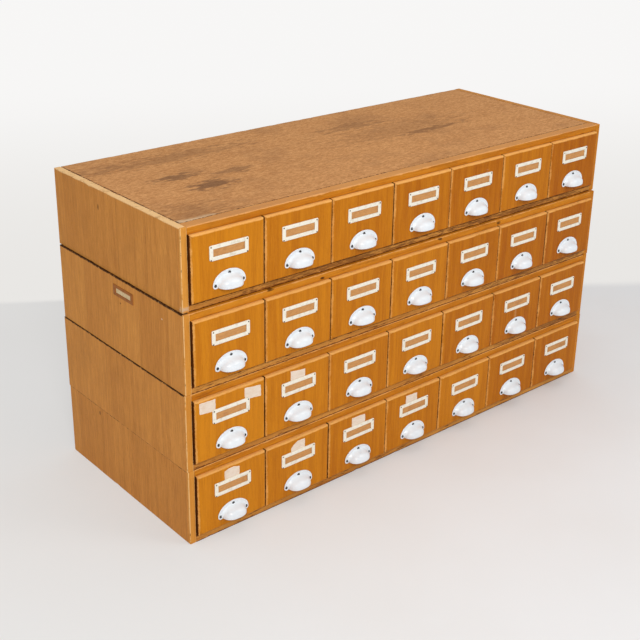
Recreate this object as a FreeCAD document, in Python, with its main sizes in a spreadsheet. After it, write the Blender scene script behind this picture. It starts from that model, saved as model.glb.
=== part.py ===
"""Card index cabinet: four stacked wooden units, each a carcass with a row of seven drawers."""

import FreeCAD, Part
import os
import Sketcher

doc = FreeCAD.newDocument("card_index_cabinet")

# Driving dimensions, in millimetres, and counts

sizes = {
    # the stack, and how far its first and third units stand out of line with the others
    "units_high": 4,
    "drawers_across": 7,
    "unit_high": 150,
    "carcass_deep": 420,
    "top_unit_back": 6.5,
    "top_unit_right": 3.5,
    "third_unit_left": 1.5,
    # boards of the carcass
    "side_thick": 13,
    "side_edge_round": 1.2,
    "top_rail_high": 13,
    "top_rail_deep": 22,
    "bottom_rail_high": 13.5,
    "bottom_rail_deep": 18,
    "rail_edge_round": 0.8,
    "panel_thick": 9,
    "back_thick": 5,
    "divider_thick": 6,
    # drawer fronts
    "drawer_pitch": 152,
    "front_gap": 1.5,
    "front_proud": 8,
    "front_thick": 18,
    "front_edge_round": 4.5,
    # drawer boxes, for cards of five by three inches
    "box_long": 390,
    "box_high": 80,
    "box_side_thick": 8,
    "box_side_clearance": 1,
    "box_run_clearance": 0.5,
    "box_back_thick": 9,
    "box_bottom_thick": 4,
    "box_bottom_lift": 2,
    # cup pull: a flat plate with two lugs, and a dome that is open below
    "pull_wide": 68,
    "pull_high": 26.5,
    "pull_level": 37.2,
    "plate_thick": 1.5,
    "lug_round": 6,
    "dome_wide": 49,
    "dome_reach": 20.5,
    "dome_high": 17,
    "dome_level": 36.6,
    "lip_level": 33,
    "dome_wall": 1.8,
    "screw_head_wide": 6,
    "screw_head_high": 1.6,
    "screw_offset": 28.6,
    "lug_screw_level": 37.6,
    "top_screw_level": 57.2,
    # label holders on the drawer fronts and on one side panel
    "holder_wide": 80,
    "holder_high": 27.5,
    "holder_level": 97,
    "holder_end": 7.5,
    "holder_edge": 7,
    "holder_thick": 1.8,
    "holder_corner": 1.5,
    "pin_head_wide": 3,
    "pin_head_high": 0.8,
    "pin_inset": 3.4,
    "side_holder_wide": 67,
    "side_holder_high": 21,
    "side_holder_back": 190.5,
    "side_holder_level": 124.5,
    "side_holder_end": 5,
    "side_holder_edge": 4,
    "side_holder_thick": 1.2,
}

sheet = doc.addObject("Spreadsheet::Sheet", "sizes")
for row, (alias, number) in enumerate(sizes.items(), start=1):
    sheet.set(f"A{row}", alias)
    sheet.set(f"B{row}", str(number))
    sheet.setAlias(f"B{row}", alias)
doc.recompute()

# Sizes and places that follow from the driving dimensions, as formulas. A unit's own frame has its
# origin at the carcass's lower front left corner, and a drawer's own frame is halfway across it.

carcass_wide = "( drawers_across * drawer_pitch + front_gap + 2 * side_thick )"
inside_wide = f"( {carcass_wide} - 2 * side_thick )"
inside_high = "( unit_high - top_rail_high - bottom_rail_high )"
panel_end = "( carcass_deep - back_thick )"
first_divider = "( side_thick + front_gap / 2 + drawer_pitch - divider_thick / 2 )"
first_drawer = "( side_thick + front_gap / 2 + drawer_pitch / 2 )"
front_wide = "( drawer_pitch - front_gap )"
front_back = "( front_thick - front_proud )"
box_wide = "( drawer_pitch - divider_thick - 2 * box_side_clearance )"
box_inside = f"( {box_wide} - 2 * box_side_thick )"
box_level = "( bottom_rail_high + box_run_clearance )"
bottom_level = f"( {box_level} + box_bottom_lift )"
stack_left = f"( 0 - ( {carcass_wide} + top_unit_right - third_unit_left ) / 2 )"
stack_front = "( 0 - ( carcass_deep + top_unit_back - front_proud - dome_reach ) / 2 )"


def bind(thing, prop, formula):
    """Ties a property to the sheet: each word of the formula that names a size becomes its cell."""
    words = [f"sizes.{word}" if word in sizes else word for word in formula.split()]
    thing.setExpression(prop, " ".join(words))


def place(thing, x, y, z):
    """Ties the three coordinates of a thing's place to the sheet."""
    for axis, formula in zip("xyz", (x, y, z)):
        bind(thing, f"Placement.Base.{axis}", formula)


def rectangle(sketch, wide, high, middle=False, name=""):
    """Draws a rectangle from the sketch's origin, or about it when middle is set."""
    half = -0.5 if middle else 0
    corners = [FreeCAD.Vector(half + a, half + b, 0) for a, b in ((0, 0), (1, 0), (1, 1), (0, 1))]
    lines = [Part.LineSegment(corners[i], corners[(i + 1) % 4]) for i in range(4)]
    bottom, right, top, left = sketch.addGeometry(lines)
    for before, after in ((bottom, right), (right, top), (top, left), (left, bottom)):
        sketch.addConstraint(Sketcher.Constraint("Coincident", before, 2, after, 1))
    for line in (bottom, top):
        sketch.addConstraint(Sketcher.Constraint("Horizontal", line))
    for line in (right, left):
        sketch.addConstraint(Sketcher.Constraint("Vertical", line))
    if middle:
        sketch.addConstraint(Sketcher.Constraint("Symmetric", bottom, 1, top, 1, -1, 1))
    else:
        sketch.addConstraint(Sketcher.Constraint("Coincident", bottom, 1, -1, 1))
    dimensions = (("DistanceX", bottom, "wide", wide), ("DistanceY", right, "high", high))
    for kind, line, size, formula in dimensions:
        number = sketch.addConstraint(Sketcher.Constraint(kind, line, 1, line, 2, 1.0))
        sketch.renameConstraint(number, name + size)
        bind(sketch, f"Constraints.{name}{size}", formula)


def sketch_on(body, plane, name):
    """Starts a sketch on one of the body's own origin planes."""
    sketch = body.newObject("Sketcher::SketchObject", name)
    sketch.AttachmentSupport = [(face, "") for face in body.Origin.OriginFeatures if face.Role == plane]
    sketch.MapMode = "FlatFace"
    return sketch


def pad_of(body, sketch, name, length):
    """Pads a sketch by a bound length."""
    pad = body.newObject("PartDesign::Pad", name)
    pad.Profile = sketch
    bind(pad, "Length", length)
    return pad


def board(name, wide, deep, high):
    """A flat board with its low corner at its own origin: wide along X, deep along Y, high along Z."""
    body = doc.addObject("PartDesign::Body", name)
    outline = sketch_on(body, "XY_Plane", f"{name}_outline")
    rectangle(outline, wide, deep)
    pad_of(body, outline, f"{name}_pad", high)
    return body


def front_edges(edge, bounds):
    """Picks the edges that lie in the board's foremost plane."""
    return edge.BoundBox.YMax < bounds.YMin + 0.01


def long_front_edges(edge, bounds):
    """Picks the foremost edges that run along X."""
    return front_edges(edge, bounds) and edge.BoundBox.XLength > 1


def upright_front_edges(edge, bounds):
    """Picks the foremost edges that run along Z."""
    return front_edges(edge, bounds) and edge.BoundBox.ZLength > 1


def corner_edges(edge, bounds):
    """Picks the four edges through a frame's thickness at its outer corners."""
    at_end = min(abs(edge.BoundBox.XMin - bounds.XMin), abs(edge.BoundBox.XMax - bounds.XMax)) < 0.01
    at_top = min(abs(edge.BoundBox.ZMin - bounds.ZMin), abs(edge.BoundBox.ZMax - bounds.ZMax)) < 0.01
    return at_end and at_top and edge.BoundBox.XLength < 0.01 and edge.BoundBox.ZLength < 0.01


def round_edges(body, radius, wanted):
    """Rounds the edges that wanted picks on the body as it is so far."""
    doc.recompute()
    base = body.Tip
    bounds = base.Shape.BoundBox
    names = [f"Edge{i}" for i, edge in enumerate(base.Shape.Edges, start=1) if wanted(edge, bounds)]
    fillet = body.newObject("PartDesign::Fillet", f"{body.Name}_rounding")
    fillet.Base = (base, names)
    bind(fillet, "Radius", radius)


def frame_plate(name, wide, high, end, edge, thick):
    """A flat frame about its own origin, facing -Y: ends and edges are the widths of its border."""
    body = doc.addObject("PartDesign::Body", name)
    outline = sketch_on(body, "XZ_Plane", f"{name}_outline")
    rectangle(outline, wide, high, middle=True, name="outer_")
    rectangle(outline, f"{wide} - 2 * {end}", f"{high} - 2 * {edge}", middle=True, name="inner_")
    pad_of(body, outline, f"{name}_pad", thick)
    round_edges(body, "holder_corner", corner_edges)
    return body


def button_head(name, wide, high, x, y, z):
    """A low domed head, half an ellipsoid, that sits on a surface facing -Y."""
    head = doc.addObject("Part::Ellipsoid", name)
    bind(head, "Radius1", high)
    bind(head, "Radius2", f"{wide} / 2")
    bind(head, "Radius3", f"{wide} / 2")
    head.Angle1 = 0
    head.Placement.Rotation = FreeCAD.Rotation(FreeCAD.Vector(1, 0, 0), 90)
    place(head, x, y, z)
    return head


def group(name, pieces, x, y, z):
    """Gathers separate solids in one node and puts the node in its place."""
    node = doc.addObject("Part::Compound", name)
    node.Links = pieces
    place(node, x, y, z)
    return node


# Carcass boards, in a unit's own frame


def carcass_boards():
    """The boards of one carcass. The rails and panels stand between the two sides."""
    left = board("left_side", "side_thick", "carcass_deep", "unit_high")
    round_edges(left, "side_edge_round", upright_front_edges)
    right = board("right_side", "side_thick", "carcass_deep", "unit_high")
    round_edges(right, "side_edge_round", upright_front_edges)
    place(right, f"{carcass_wide} - side_thick", "0", "0")
    top_rail = board("top_rail", inside_wide, "top_rail_deep", "top_rail_high")
    round_edges(top_rail, "rail_edge_round", long_front_edges)
    place(top_rail, "side_thick", "0", "unit_high - top_rail_high")
    bottom_rail = board("bottom_rail", inside_wide, "bottom_rail_deep", "bottom_rail_high")
    round_edges(bottom_rail, "rail_edge_round", long_front_edges)
    place(bottom_rail, "side_thick", "0", "0")
    top = board("top_panel", inside_wide, "carcass_deep - top_rail_deep", "panel_thick")
    place(top, "side_thick", "top_rail_deep", "unit_high - panel_thick")
    bottom = board("bottom_panel", inside_wide, f"{panel_end} - bottom_rail_deep", "panel_thick")
    place(bottom, "side_thick", "bottom_rail_deep", "bottom_rail_high - panel_thick")
    back = board("back_panel", inside_wide, "back_thick", "unit_high - panel_thick")
    place(back, "side_thick", panel_end, "0")
    return [left, right, top_rail, bottom_rail, top, bottom, back]


def dividers():
    """The upright boards between the drawers, one fewer than the drawers, between the two panels."""
    boards = []
    high = "unit_high - panel_thick - bottom_rail_high"
    for i in range(sizes["drawers_across"] - 1):
        divider = board(f"divider_{i + 1}", "divider_thick", f"{panel_end} - top_rail_deep", high)
        place(divider, f"{first_divider} + {i} * drawer_pitch", "top_rail_deep", "bottom_rail_high")
        boards.append(divider)
    return boards


def side_label_holder():
    """The small frame on the outside of a left side panel, turned to face -X."""
    frame = frame_plate(
        "side_holder",
        "side_holder_wide",
        "side_holder_high",
        "side_holder_end",
        "side_holder_edge",
        "side_holder_thick",
    )
    frame.Placement.Rotation = FreeCAD.Rotation(FreeCAD.Vector(0, 0, 1), -90)
    place(frame, "0", "side_holder_back", "side_holder_level")
    return frame


# Drawer box, in a drawer's own frame


def drawer_front():
    """The thick front, rounded on its four foremost edges and standing proud of the carcass."""
    front = board("drawer_front", front_wide, "front_thick", f"{inside_high} - front_gap")
    round_edges(front, "front_edge_round", front_edges)
    place(front, f"0 - {front_wide} / 2", "0 - front_proud", "bottom_rail_high + front_gap / 2")
    return front


def drawer_box():
    """Two sides behind the front, a back and a bottom between them."""
    boards = []
    for name, x in (("box_left", f"0 - {box_wide} / 2"), ("box_right", f"{box_wide} / 2 - box_side_thick")):
        side = board(name, "box_side_thick", "box_long", "box_high")
        place(side, x, front_back, box_level)
        boards.append(side)
    back = board("box_back", box_inside, "box_back_thick", "box_high - box_bottom_lift")
    place(back, f"0 - {box_inside} / 2", f"{front_back} + box_long - box_back_thick", bottom_level)
    bottom = board("box_bottom", box_inside, "box_long - box_back_thick", "box_bottom_thick")
    place(bottom, f"0 - {box_inside} / 2", front_back, bottom_level)
    return boards + [back, bottom]


# Fittings on the drawer front, in a drawer's own frame


def dome(name, less):
    """An ellipsoid about the middle of the dome's foot, smaller all round by less."""
    solid = doc.addObject("Part::Ellipsoid", name)
    bind(solid, "Radius1", f"dome_high - {less}")
    bind(solid, "Radius2", f"dome_wide / 2 - {less}")
    bind(solid, "Radius3", f"dome_reach - {less}")
    place(solid, "0", "0 - front_proud", "dome_level")
    return solid


def room(name, wide, reach, low, high):
    """A block in front of the drawer front, between two levels, that a part is cut down to."""
    block = doc.addObject("Part::Box", name)
    bind(block, "Length", wide)
    bind(block, "Width", reach)
    bind(block, "Height", f"{high} - {low}")
    place(block, f"0 - {wide} / 2", f"0 - front_proud - {reach}", low)
    return block


def cup_pull():
    """A shell: a plate whose top is half an ellipse, two round lugs, and a dome open below."""
    outline = doc.addObject("Part::Ellipse", "pull_outline")
    bind(outline, "MajorRadius", "pull_wide / 2")
    bind(outline, "MinorRadius", "pull_high")
    outline.Placement.Rotation = FreeCAD.Rotation(FreeCAD.Vector(1, 0, 0), 90)
    place(outline, "0", "0 - front_proud", "pull_level")
    oval = doc.addObject("Part::Extrusion", "pull_oval")
    oval.Base = outline
    oval.DirMode = "Custom"
    oval.Dir = FreeCAD.Vector(0, -1, 0)
    oval.Solid = True
    bind(oval, "LengthFwd", "plate_thick")
    above_lugs = room("above_lugs", "pull_wide", "plate_thick", "pull_level", "( pull_level + pull_high )")
    arch = doc.addObject("Part::MultiCommon", "pull_arch")
    arch.Shapes = [oval, above_lugs]
    above_lip = room("above_lip", "dome_wide", "dome_reach", "lip_level", "( dome_level + dome_high )")
    outside = doc.addObject("Part::MultiCommon", "dome_outside")
    outside.Shapes = [dome("dome_solid", "0"), above_lip]
    lugs = []
    for side, sign in (("left", "-"), ("right", "+")):
        lug = doc.addObject("Part::Cylinder", f"{side}_lug")
        bind(lug, "Radius", "lug_round")
        bind(lug, "Height", "plate_thick")
        lug.Placement.Rotation = FreeCAD.Rotation(FreeCAD.Vector(1, 0, 0), 90)
        place(lug, f"0 {sign} ( pull_wide / 2 - lug_round )", "0 - front_proud", "pull_level")
        lugs.append(lug)
    whole = doc.addObject("Part::MultiFuse", "pull_whole")
    whole.Shapes = [arch, outside] + lugs
    pull = doc.addObject("Part::Cut", "cup_pull")
    pull.Base = whole
    pull.Tool = dome("dome_hollow", "dome_wall")
    pull.Refine = True
    return pull


def pull_screws():
    """Three round heads: one above the dome and one on each lug."""
    face = "0 - front_proud - plate_thick"
    heads = []
    for name, x, z in (
        ("top_screw", "0", "top_screw_level"),
        ("left_screw", "0 - screw_offset", "lug_screw_level"),
        ("right_screw", "screw_offset", "lug_screw_level"),
    ):
        heads.append(button_head(name, "screw_head_wide", "screw_head_high", x, face, z))
    return heads


def label_holder():
    """The frame above the pull and the heads of its four pins."""
    frame = frame_plate(
        "label_holder",
        "holder_wide",
        "holder_high",
        "holder_end",
        "holder_edge",
        "holder_thick",
    )
    place(frame, "0", "0 - front_proud", "holder_level")
    face = "0 - front_proud - holder_thick"
    pins = []
    for side, across in (("left", "-"), ("right", "+")):
        for level, up in (("low", "-"), ("high", "+")):
            x = f"0 {across} ( holder_wide / 2 - pin_inset )"
            z = f"holder_level {up} ( holder_high / 2 - pin_inset )"
            pins.append(button_head(f"{level}_{side}_pin", "pin_head_wide", "pin_head_high", x, face, z))
    return [frame] + pins


# The stack: every unit has its own carcass node, and every drawer a box node and a fittings node

boards = carcass_boards() + dividers()
holder_on_side = side_label_holder()
box = [drawer_front()] + drawer_box()
fittings = [cup_pull()] + pull_screws() + label_holder()

nodes = []
for unit in range(1, sizes["units_high"] + 1):
    x = stack_left + {1: " + top_unit_right", 3: " - third_unit_left"}.get(unit, "")
    y = stack_front + (" + top_unit_back" if unit == 1 else "")
    z = f"( units_high - {unit} ) * unit_high"
    extra = [holder_on_side] if unit == 2 else []
    nodes.append(group(f"unit_{unit}_carcass", boards + extra, x, y, z))
    for column in range(1, sizes["drawers_across"] + 1):
        middle = f"{x} + {first_drawer} + {column - 1} * drawer_pitch"
        nodes.append(group(f"drawer_{unit}_{column}_box", box, middle, y, z))
        nodes.append(group(f"drawer_{unit}_{column}_fittings", fittings, middle, y, z))

doc.recompute()

for thing in doc.Objects:
    if {"Invalid", "Error"} & set(thing.State):
        raise RuntimeError(f"{thing.Label} is {thing.State}")
for node in nodes:
    if node.Shape.isNull() or not node.Shape.isValid() or not node.Shape.Solids:
        raise RuntimeError(f"{node.Label} has no valid solid")

os.makedirs("parts", exist_ok=True)
for node in nodes:
    node.Shape.exportStep(f"parts/{node.Label}.step")

# the optimal boxes, because the plain ones reach past the dome's curved faces
bounds = [node.Shape.optimalBoundingBox(False) for node in nodes]
print("nodes", len(nodes), "solids", sum(len(node.Shape.Solids) for node in nodes))
print("x", min(b.XMin for b in bounds), max(b.XMax for b in bounds))
print("y", min(b.YMin for b in bounds), max(b.YMax for b in bounds))
print("z", min(b.ZMin for b in bounds), max(b.ZMax for b in bounds))
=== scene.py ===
import bpy
import math
import numpy as np
from mathutils import Matrix, Vector


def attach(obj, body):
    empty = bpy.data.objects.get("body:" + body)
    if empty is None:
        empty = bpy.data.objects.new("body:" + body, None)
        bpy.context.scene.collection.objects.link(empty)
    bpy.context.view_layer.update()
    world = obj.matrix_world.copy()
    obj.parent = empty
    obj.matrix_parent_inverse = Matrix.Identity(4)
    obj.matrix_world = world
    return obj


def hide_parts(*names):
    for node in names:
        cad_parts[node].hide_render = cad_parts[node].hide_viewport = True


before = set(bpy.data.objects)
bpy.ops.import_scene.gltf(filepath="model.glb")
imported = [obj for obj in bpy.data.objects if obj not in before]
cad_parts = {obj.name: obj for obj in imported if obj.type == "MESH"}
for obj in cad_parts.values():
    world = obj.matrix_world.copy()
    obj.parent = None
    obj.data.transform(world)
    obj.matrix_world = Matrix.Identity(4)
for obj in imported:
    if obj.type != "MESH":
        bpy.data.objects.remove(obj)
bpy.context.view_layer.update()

# Places are in millimetres inside this script, and become metres when a mesh is made.
# A unit is measured from its carcass's lower front left corner, a drawer from its own middle.
stack = dict(
    units=4, columns=7, left=-546.75, front=-199.0, unitHigh=150.0, pitch=152.0, firstMiddle=89.75,
    shifts={1: (3.5, 6.5), 3: (-1.5, 0.0)}, looseAcross=0.35, looseBack=0.8,
)


# Where a unit's own frame lies, unit 1 being the topmost
def unitPlace(unit):
    right, back = stack["shifts"].get(unit, (0.0, 0.0))
    up = (stack["units"] - unit) * stack["unitHigh"]
    return np.array([stack["left"] + right, stack["front"] + back, up])


# Where a drawer's own frame lies, each drawer a little loose in its place
def drawerPlace(unit, column):
    loose = np.random.default_rng(900 + 10 * unit + column).uniform(0, 1, 2)
    across = stack["firstMiddle"] + (column - 1) * stack["pitch"]
    across += (2 * loose[0] - 1) * stack["looseAcross"]
    return unitPlace(unit) + [across, loose[1] * stack["looseBack"], 0]


# Where the middle of a drawer's face lies, at the unit's lower edge
def facePlace(unit, column):
    return drawerPlace(unit, column) + [0, drawerFront["face"], 0]


# Random values every step, eased from one to the next with half a cosine
def wander(places, step, rng):
    at = (places - places.min()) / step
    knots = rng.uniform(-1, 1, int(at.max()) + 3)
    low = at.astype(int)
    ease = (1 - np.cos(np.pi * (at - low))) / 2
    return knots[low] * (1 - ease) + knots[low + 1] * ease


# Angles of an arc as cosines and sines
def arc(start, turn, count):
    angles = np.radians(start) + np.radians(turn) * np.linspace(0, 1, count)
    return np.cos(angles), np.sin(angles)


# A mesh from a shape in millimetres, with its marks, riding on a body in a node's stead
def makePiece(name, shape, material, body, node):
    mesh = bpy.data.meshes.new(name)
    mesh.from_pydata(shape["points"] * 0.001, [], shape["faces"])
    mesh.polygons.foreach_set("use_smooth", shape["smooth"].tolist())
    for key, values in shape["marks"].items():
        vector = values.ndim == 2
        layer = mesh.attributes.new(key, "FLOAT_VECTOR" if vector else "FLOAT", "POINT")
        layer.data.foreach_set("vector" if vector else "value", values.astype(np.float32).ravel())
    mesh.materials.append(material)
    piece = bpy.data.objects.new(name, mesh)
    bpy.context.collection.objects.link(piece)
    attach(piece, body)
    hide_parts(node)
    return piece


# A piece that rides on a drawer, in the stead of its box or of its fittings
def drawerPiece(unit, column, title, shape, material, part="fittings"):
    body, slot = f"drawer_{unit}_{column}", "drawer_wood" if part == "box" else "enamel"
    return makePiece(title, shape, material, body, f"{body}_{part}")


# A piece of a unit's carcass
def carcassPiece(unit, title, shape, material):
    makePiece(title, shape, material, "cabinet", f"unit_{unit}_carcass")


# Every drawer as its unit and its column
def everyDrawer():
    units, columns = range(1, stack["units"] + 1), range(1, stack["columns"] + 1)
    return [(unit, column) for unit in units for column in columns]


# Points, faces, which faces are smooth, and the marks of the points
def makeShape(points, faces, smooth=True, edge=0.0, **marks):
    marks["edge"] = np.broadcast_to(np.asarray(edge, float), len(points))
    return {"points": points, "faces": faces, "smooth": np.broadcast_to(smooth, len(faces)), "marks": marks}


# Several shapes as one, the faces of each counted on from the points before it
def joinShapes(shapes):
    starts = np.cumsum([0] + [len(shape["points"]) for shape in shapes])
    faces = [[int(start) + k for k in face]
             for start, shape in zip(starts, shapes) for face in shape["faces"]]
    marks = {key: np.concatenate([shape["marks"][key] for shape in shapes]) for key in shapes[0]["marks"]}
    points, smooth = (np.concatenate([shape[key] for shape in shapes]) for key in ("points", "smooth"))
    return {"points": points, "faces": faces, "smooth": smooth, "marks": marks}


# The number of each point of a grid of rows and columns
def gridIndex(grid):
    rows, columns = grid.shape[:2]
    return np.arange(rows * columns).reshape(rows, columns)


# The quads of an open grid
def gridQuads(index):
    return np.stack([index[:-1, :-1], index[:-1, 1:], index[1:, 1:], index[1:, :-1]], -1).reshape(-1, 4)


# Whether quads face outwards, from the sign of the volume that they enclose
def facesOutward(points, quads):
    a, b, c, d = (points[quads[:, k]] for k in range(4))
    return np.einsum("ij,ij->", a, np.cross(b, c)) + np.einsum("ij,ij->", a, np.cross(c, d)) > 0


# Quads between closed rings that lie one behind another, facing outwards, and a face at each end
def ringFaces(rings):
    index = gridIndex(rings)
    ahead = np.roll(index, -1, axis=1)
    quads = np.stack([index[:-1], ahead[:-1], ahead[1:], index[1:]], -1).reshape(-1, 4)
    faces = quads.tolist() + [index[0][::-1].tolist(), index[-1].tolist()]
    flat = rings.reshape(-1, 3)
    return faces if facesOutward(flat - flat.mean(0), quads) else [face[::-1] for face in faces]


# Quads of a grid that closes on itself both ways, facing outwards
def closedFaces(rings):
    index = gridIndex(rings)
    below = np.roll(index, -1, axis=0)
    quads = np.stack([index, np.roll(index, -1, axis=1), np.roll(below, -1, axis=1), below], -1)
    quads = quads.reshape(-1, 4)
    return (quads if facesOutward(rings.reshape(-1, 3), quads) else quads[:, ::-1]).tolist()


# A flat sheet from rings at a place
def sheetShape(rings, place):
    return makeShape(rings.reshape(-1, 3) + place, ringFaces(rings), False)


# A closed band from rings at a place
def bandShape(rings, edge, place):
    return makeShape(rings.reshape(-1, 3) + place, closedFaces(rings), True, edge)


# Boards: a rounded rectangle carried along the board's longest side. Each corner's radius wanders, and
# swells where the edge is chipped. Marks: grain is the place in the wood with Z along the fibres, edge is
# 1 on the roundings and 0 a few millimetres in, tone is one number for the whole board, dirt is
# the painted shade on edges in joints and gaps, black where it is 1.
boardShape = dict(
    arcSteps=3, edgeBand=5.0, wander=0.35, wanderStep=37.0, chipDeep=2.4, chipLong=7.0, toneSpread=0.12,
    narrow=15.0,
)


# One board from its low to its high corner: its half sizes less the inset of each station, with a quarter
# circle at each corner. A narrow flat has narrowEdge as its edge mark, and worn scales the edge marks of
# the upper half, the lower half and the two ends. paintedEdgeShade times the edge marks is the painted
# shade of the dirt mark
def board(seed, place, low, high, grainAxis, radius, step, chips=0, narrowEdge=0.0, paintedEdgeShade=0.0,
          worn=(1, 1, 1)):
    rng = np.random.default_rng(seed)
    low, high = np.array(low, float), np.array(high, float)
    size = high - low
    along = int(np.argmax(size))
    first, second = [(1, 2), (2, 0), (0, 1)][along]
    half, length, steps = size / 2, size[along], boardShape["arcSteps"]
    turn = np.radians([0, 45, 90])
    lead = radius * (1 - np.cos(turn))
    shrink = radius * (1 - np.sin(turn))
    inner = min(radius + 4, 0.6 * min(half[first], half[second]))
    middle = np.linspace(radius + 4, length - radius - 4, max(2, int(length / step)))
    stations = np.concatenate([[0], lead, middle, length - lead[::-1], [length]])
    inset = np.concatenate([[inner], shrink, 0 * middle, shrink[::-1], [inner]])
    edgeEnd = np.concatenate([[0], [1, 1, 1], 0 * middle, [1, 1, 1], [0]]) * worn[2]
    wide, tall = half[first] - inset, half[second] - inset
    count = len(stations)
    parts, edges, cornerRadius = [], [], []
    for corner in range(4):
        swell = radius * (1 + boardShape["wander"] * wander(stations, boardShape["wanderStep"], rng))
        for at in rng.uniform(0, length, int(chips * length / 1000)):
            spread = boardShape["chipLong"] * rng.uniform(0.3, 1)
            depth = boardShape["chipDeep"] * rng.uniform(0.15, 1) ** 2
            swell = swell + depth * np.exp(-(((stations - at) / spread) ** 2))
        cornerRadius.append(np.clip(np.minimum(swell - inset, 0.45 * np.minimum(wide, tall)), 0.05, None))
    band = np.minimum(boardShape["edgeBand"], 0.6 * np.minimum(wide, tall))
    signs = [(1, 1), (-1, 1), (-1, -1), (1, -1)]
    for corner, (sa, sb) in enumerate(signs):
        r = cornerRadius[corner][:, None]
        c, s = arc(90 * corner, 90, steps + 1)
        parts.append(np.stack([sa * (wide[:, None] - r) + r * c, sb * (tall[:, None] - r) + r * s], -1))
        edges.append(np.ones((count, len(c))))
        ta, tb = signs[(corner + 1) % 4]
        near = np.maximum(band, cornerRadius[corner] + 0.3)
        far = np.maximum(band, cornerRadius[(corner + 1) % 4] + 0.3)
        if corner % 2 == 0:
            pair = [(sa * (wide - near), sb * tall), (ta * (wide - far), sb * tall)]
        else:
            pair = [(sa * wide, sb * (tall - near)), (sa * wide, tb * (tall - far))]
        parts.append(np.stack([np.stack(p, -1) for p in pair], 1))
        flatWide = 2 * (half[first] if corner % 2 == 0 else half[second])
        flatEdge = np.maximum(edgeEnd, narrowEdge if flatWide < boardShape["narrow"] else 0)
        edges.append(np.repeat(flatEdge[:, None], 2, 1))
    section = np.concatenate(parts, 1)
    edge = np.concatenate(edges, 1)
    edge[[0, -1]] = 0
    rings = np.empty((count, section.shape[1], 3))
    rings[..., first] = section[..., 0]
    rings[..., second] = section[..., 1]
    rings[..., along] = (stations - length / 2)[:, None]
    edge = edge * np.where(rings[..., 2] > 0, worn[0], worn[1])
    points = (rings + (low + high) / 2).reshape(-1, 3) + place
    arcFace = np.arange(section.shape[1]) % (steps + 3) < steps
    smooth = np.concatenate([np.tile(arcFace, count - 1), [False, False]])
    order = {0: (1, 2, 0), 1: (2, 0, 1), 2: (0, 1, 2)}[grainAxis]
    tone = np.full(len(points), rng.uniform(-1, 1) * boardShape["toneSpread"])
    grain = points[:, order] * 0.001 + rng.uniform(0, 9, 3)
    edge = edge.ravel()
    # Painted shade: the dirt mark is the edge mark times paintedEdgeShade
    return makeShape(points, ringFaces(rings), smooth, edge, grain=grain, tone=tone, dirt=edge * paintedEdgeShade)


# A colour given as it shows on a screen, from 0 to 255, as the renderer's own values
def shade(red, green, blue):
    part = np.array([red, green, blue]) / 255
    return (*np.where(part <= 0.04045, part / 12.92, ((part + 0.055) / 1.055) ** 2.4), 1.0)


# Links each input of a node that is given a socket, and sets each one that is given a value
def fillInputs(item, values):
    for key, value in values.items():
        if isinstance(value, bpy.types.NodeSocket):
            item.id_data.links.new(value, item.inputs[key])
        else:
            item.inputs[key].default_value = value


# A node with its settings and its inputs
def addNode(tree, kind, values=None, **settings):
    item = tree.nodes.new("ShaderNode" + kind)
    for key, value in settings.items():
        setattr(item, key, value)
    fillInputs(item, values or {})
    return item


# The same, in the tree that the first socket among the inputs belongs to
def joinNode(kind, values, **settings):
    tree = next(value.id_data for value in values.values() if isinstance(value, bpy.types.NodeSocket))
    return addNode(tree, kind, values, **settings)


# One operation on one to three numbers
def maths(operation, *values, clamp=False):
    return joinNode("Math", dict(enumerate(values)), operation=operation, use_clamp=clamp).outputs[0]


# First number times second
def times(first, second, clamp=False):
    return maths("MULTIPLY", first, second, clamp=clamp)


# First number plus second
def plus(first, second):
    return maths("ADD", first, second)


# First number minus second
def minus(first, second):
    return maths("SUBTRACT", first, second)


# First number times second, plus third
def timesPlus(first, second, third):
    return maths("MULTIPLY_ADD", first, second, third)


# One operation on vectors, which gives a number for a length or a product
def vectorMaths(operation, *values):
    item = joinNode("VectorMath", dict(enumerate(values)), operation=operation)
    return item.outputs["Value" if operation in ("LENGTH", "DOT_PRODUCT") else "Vector"]


# A vector with each part times its own factor
def stretch(place, factors):
    return vectorMaths("MULTIPLY", place, factors)


# First colour where factor is 0, second where it is 1
def mix(factor, first, second):
    return joinNode("Mix", {0: factor, 6: first, 7: second}, data_type="RGBA").outputs[2]


# Eases from toLow to toHigh while value goes from low to high
def ramp(value, low, high, toLow=0.0, toHigh=1.0):
    values = {0: value, 1: low, 2: high, 3: toLow, 4: toHigh}
    return joinNode("MapRange", values, interpolation_type="SMOOTHSTEP").outputs[0]


# Noise between 0 and 1 at a place times scale, or three of them with output 1
def noise(place, scale, detail=2.0, rough=0.5, output=0):
    values = {"Vector": place, "Scale": scale, "Detail": detail, "Roughness": rough}
    return joinNode("TexNoise", values).outputs[output]


# The normal of a surface whose height in metres is height times distance
def bump(height, distance, strength):
    return joinNode("Bump", {"Height": height, "Distance": distance, "Strength": strength}).outputs[0]


# A mark of the mesh's points
def mark(tree, name, output="Fac"):
    return addNode(tree, "Attribute", attribute_name=name).outputs[output]


# The object's own coordinates, in metres
def objectPlace(tree):
    return addNode(tree, "TexCoord").outputs["Object"]


# A node group. Each input has its start value, or None for a vector. The function make turns the inputs, in
# their order, into the outputs, which are numbers
def newGroup(name, make, **inputs):
    tree = bpy.data.node_groups.new(name, "ShaderNodeTree")
    for key, start in inputs.items():
        kind = "NodeSocketVector" if start is None else "NodeSocketFloat"
        socket = tree.interface.new_socket(key, in_out="INPUT", socket_type=kind)
        if start is not None:
            socket.default_value = start
    given = tree.nodes.new("NodeGroupInput").outputs
    made = make(*(given[key] for key in inputs))
    for key in made:
        tree.interface.new_socket(key, in_out="OUTPUT", socket_type="NodeSocketFloat")
    fillInputs(tree.nodes.new("NodeGroupOutput"), made)
    return tree


# The outputs of a node group with its inputs filled
def useGroup(group, **values):
    return joinNode("Group", values, node_tree=group).outputs


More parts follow.
